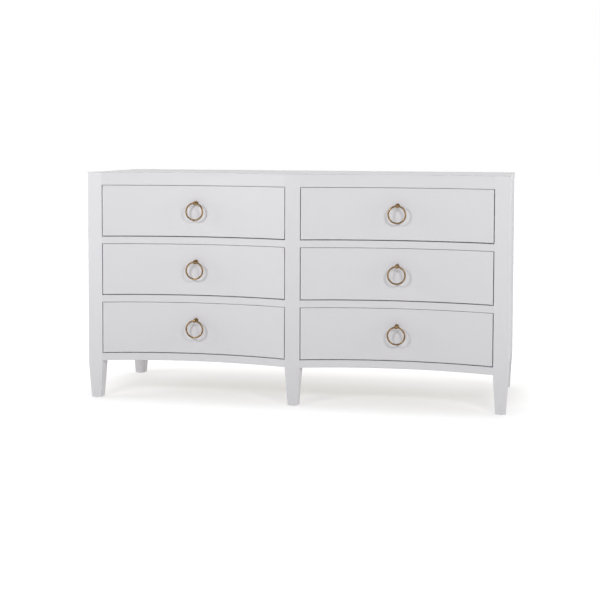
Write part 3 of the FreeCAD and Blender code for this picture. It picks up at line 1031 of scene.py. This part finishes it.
def rowLength(look):
    return look["ballPitch"] * (look["ballsInRow"] - 1)


def raceStarts(name, look):
    # the outer balls stay in the back half of the middle member and the inner ones in its front half,
    # which is where the members on each side of it still reach when the drawer is right out
    outerHeight = look["cabinetHeight"] / 2 - look["steel"] - look["race"] / 2
    innerHeight = outerHeight - look["steel"] - look["race"]
    run = rowLength(look)
    starts = []
    for face, way, middle, ends in slidePlaces(name, look):
        half = (ends[0] + ends[1]) / 2
        backStart = half + (ends[1] - half - run) / 2
        frontStart = ends[0] + (half - ends[0] - run) / 2
        for side in (-1, 1):
            starts.append((face + way * (look["middleWeb"] + look["cabinetLip"]) / 2, backStart,
                           middle + side * outerHeight))
            starts.append((face + way * (look["drawerLip"] + look["middleLip"]) / 2, frontStart,
                           middle + side * innerHeight))
    return starts


def cagesMesh(name, look):
    build = bmesh.new()
    reach, end, half = look["cageReach"], look["cageEnd"], look["cageThickness"] / 2
    for x, y, z in raceStarts(name, look):
        addBox(build, (x - reach, y - end, z - half), (x + reach, y + rowLength(look) + end, z + half))
    bmesh.ops.recalc_face_normals(build, faces=build.faces)
    # the corners at both ends are eased, and the long edges stay sharp
    short = [e for e in build.edges if e.calc_length() < look["cageEnd"]]
    bmesh.ops.bevel(build, geom=short, offset=look["cageEdge"], segments=1, affect="EDGES",
                    clamp_overlap=True)
    return meshFrom(build, "cages")


def leversMesh(name, look):
    # a bent tongue with a thumb pad, lying in the drawer member
    build = bmesh.new()
    for face, way, middle, ends in slidePlaces(name, look):
        back = ends[1] - look["leverFromBack"]
        near = face + way * (look["thickness"] - look["steel"] - look["leverGap"])
        far = near - way * look["leverThickness"]
        half = look["leverHalf"]
        outline = [(a, -b) for a, b in half] + list(reversed(half))
        front, rear = [[build.verts.new((x, back + a * look["leverLength"], middle + b * look["leverHeight"]))
                        for a, b in outline] for x in sorted((near, far))]
        addWalls(build, front, rear)
        build.faces.new(front)
        build.faces.new(list(reversed(rear)))
    bmesh.ops.recalc_face_normals(build, faces=build.faces)
    bmesh.ops.bevel(build, geom=build.edges[:], offset=look["leverEdge"], segments=2, affect="EDGES",
                    clamp_overlap=True)
    return meshFrom(build, "levers")


def dressSlides(look):
    cabinet = channelsMesh(drawerNames, 0.0, look["cabinetLip"], look["cabinetHeight"], look)
    addPiece("slideCabinetMembers", cabinet, "case", zinc, "slide_steel", "slide_cabinet_members")
    screws = slideScrews(drawerNames, look["steel"], 1, look["lowHead"], look)
    addPiece("slideCabinetScrews", screws, "case", screwSteel, "screw_steel")
    for name in drawerNames:
        middleNode, middleBody = f"{name}_slide_middle_members", f"{name}_slide_middle"
        drawerNode, drawerBody = f"{name}_slide_drawer_members", f"{name}_drawer"
        mesh = channelsMesh([name], look["middleWeb"], look["middleLip"], nodeHeight(middleNode), look)
        addPiece(f"{name}_slideMiddleMembers", mesh, middleBody, zinc, "slide_steel", middleNode)
        mesh = channelsMesh([name], look["thickness"], look["drawerLip"], nodeHeight(drawerNode), look)
        addPiece(f"{name}_slideDrawerMembers", mesh, drawerBody, zinc, "slide_steel", drawerNode)
        balls = grown(ballRow, raceStarts(name, look), {
            "Ball radius": look["ballRadius"], "Pitch": look["ballPitch"],
            "Balls in row": look["ballsInRow"], "Finish": zinc})
        addPiece(f"{name}_slideBalls", balls, middleBody, zinc, "slide_steel")
        addPiece(f"{name}_slideCages", cagesMesh(name, look), middleBody, zinc, "slide_steel")
        screws = slideScrews([name], look["thickness"] - look["steel"], -1, look["tallHead"], look)
        addPiece(f"{name}_slideScrews", screws, drawerBody, screwSteel, "screw_steel")
        addPiece(f"{name}_slideLevers", leversMesh(name, look), drawerBody, blackPlastic, "glide_plastic")


dressSlides(slideLook)
print("slides fitted")


# the stage: two soft lamps in front, one at each side, a pale floor, and light from behind and above
camera = {
    "place": (0.9299, -4.6224, 1.0011),
    "yaw": -9.972,
    "pitch": -2.921,
    "roll": 0.264,
    "focalPixels": 1180.25,
    "axisPixel": (336.0, 203.0),
    "framePixels": 600.0,
    "sensorWidth": 36.0,
}


def addCamera(look):
    data = bpy.data.cameras.new("camera")
    data.sensor_width = look["sensorWidth"]
    data.lens = look["focalPixels"] / look["framePixels"] * look["sensorWidth"]
    data.shift_x = (look["framePixels"] / 2 - look["axisPixel"][0]) / look["framePixels"]
    data.shift_y = (look["axisPixel"][1] - look["framePixels"] / 2) / look["framePixels"]
    made = inScene("camera", data)
    turn = Matrix.Rotation(math.radians(-look["yaw"]), 4, "Z")
    tip = Matrix.Rotation(math.radians(90 + look["pitch"]), 4, "X")
    roll = Matrix.Rotation(math.radians(look["roll"]), 4, "Z")
    made.matrix_world = Matrix.Translation(look["place"]) @ turn @ tip @ roll
    bpy.context.scene.camera = made


addCamera(camera)

# places, targets and sizes in metres, powers in watts
lampsLook = {
    "leftLamp": {"place": (-1.21, -2.24, 1.48), "target": (-0.2, -0.2, 0.4), "size": 0.42, "power": 17.1},
    "rightLamp": {"place": (1.69, -2.39, 1.70), "target": (0.2, -0.2, 0.4), "size": 0.42, "power": 21.2},
    "leftSide": {"place": (-3.2, -0.9, 1.25), "target": (-0.8, 0.0, 0.5), "size": 1.2, "power": 28.0},
    "rightSide": {"place": (3.2, -0.9, 0.95), "target": (0.8, 0.0, 0.5), "size": 1.0, "power": 17.8},
}


def addLamp(name, look):
    data = bpy.data.lights.new(name, "AREA")
    data.size = look["size"]
    data.energy = look["power"]
    made = inScene(name, data)
    place = Vector(look["place"])
    aim = (Vector(look["target"]) - place).to_track_quat("-Z", "Y").to_matrix().to_4x4()
    made.matrix_world = Matrix.Translation(place) @ aim


for name, look in lampsLook.items():
    addLamp(name, look)

floorLook = {
    "reach": 30.0,
    "colour": (0.50, 0.50, 0.50),
    "glow": 0.566,
    "bounceGlow": 0.300,
    "farGlow": 0.50,
    "footprint": (0.81, 0.27, 1.0),
    "farEnd": 0.50,
}


def addFloor(look):
    # seen from the camera it glows, more so beyond the chest's footprint, until it clears to white;
    # this rising glow is painted light that washes out the cast shadows away from the chest, and the lower
    # glow round the footprint leaves a painted shade near the chest on top of its real shadow;
    # the chest gets a weaker, even glow from it
    reach = look["reach"]
    mesh = bpy.data.meshes.new("floor")
    mesh.from_pydata([(-reach, -reach, 0), (reach, -reach, 0), (reach, reach, 0), (-reach, reach, 0)],
                     [], [(0, 1, 2, 3)])
    floor = inScene("floor", mesh)
    finish = bpy.data.materials.new("paleFloor")
    shade = emptied(finish)
    point = shade.node("ShaderNodeTexCoord", output="Object")
    beyond = vectorMaths(shade, "SUBTRACT", vectorMaths(shade, "ABSOLUTE", point), look["footprint"])
    beyond = vectorMaths(shade, "MAXIMUM", beyond, (0.0, 0.0, 0.0))
    # painted shade and painted light: the glow is lowest round the chest's footprint and rises to white
    # beyond it
    far = (vectorMaths(shade, "LENGTH", beyond, output="Value") / look["farEnd"]).clamped()
    seen = shade.node("ShaderNodeLightPath", output="Is Camera Ray")
    lit = shade.node("ShaderNodeBsdfDiffuse", None, {"Color": look["colour"]})
    toCamera = far * look["farGlow"] + look["glow"]
    glow = shade.node("ShaderNodeEmission", None, {
        "Color": (1.0, 1.0, 1.0), "Strength": between(look["bounceGlow"], toCamera, seen)})
    whole = shade.node("ShaderNodeAddShader", None, {0: lit, 1: glow})
    shade.node("ShaderNodeOutputMaterial", None, {"Surface": whole})
    mesh.materials.append(finish)


addFloor(floorLook)

studioLook = {
    "seen": 1.0,
    "glows": {
        "behind": {"toward": (0.0, 1.0, 0.0), "strength": 1.50},
        "above": {"toward": (0.0, 0.0, 1.0), "strength": 0.26},
    },
}


def addStudio(look):
    world = bpy.data.worlds.new("studio")
    bpy.context.scene.world = world
    shade = emptied(world)
    direction = shade.node("ShaderNodeTexCoord", output="Generated")
    glow = 0.0
    for side in look["glows"].values():
        nearness = vectorMaths(shade, "DOT_PRODUCT", direction, side["toward"], output="Value")
        glow = nearness.maths("MAXIMUM", nearness, 0.0) * side["strength"] + glow
    seen = shade.node("ShaderNodeLightPath", output="Is Camera Ray")
    background = shade.node("ShaderNodeBackground", None, {
        "Color": (1.0, 1.0, 1.0), "Strength": between(glow, look["seen"], seen)})
    shade.node("ShaderNodeOutputWorld", None, {"Surface": background})


addStudio(studioLook)
bpy.context.scene.view_settings.view_transform = "Standard"
print("stage lit")


def paintCase():
    # the painted pieces stay the CAD meshes; legs and panels get the upright grain, the rest the level one
    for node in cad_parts.values():
        if node.data.materials[0].name.startswith("white_satin_paint"):
            upright = "leg" in node.name or "panel" in node.name
            node.material_slots[0].material = uprightPaint if upright else levelPaint


paintCase()
print("case painted")
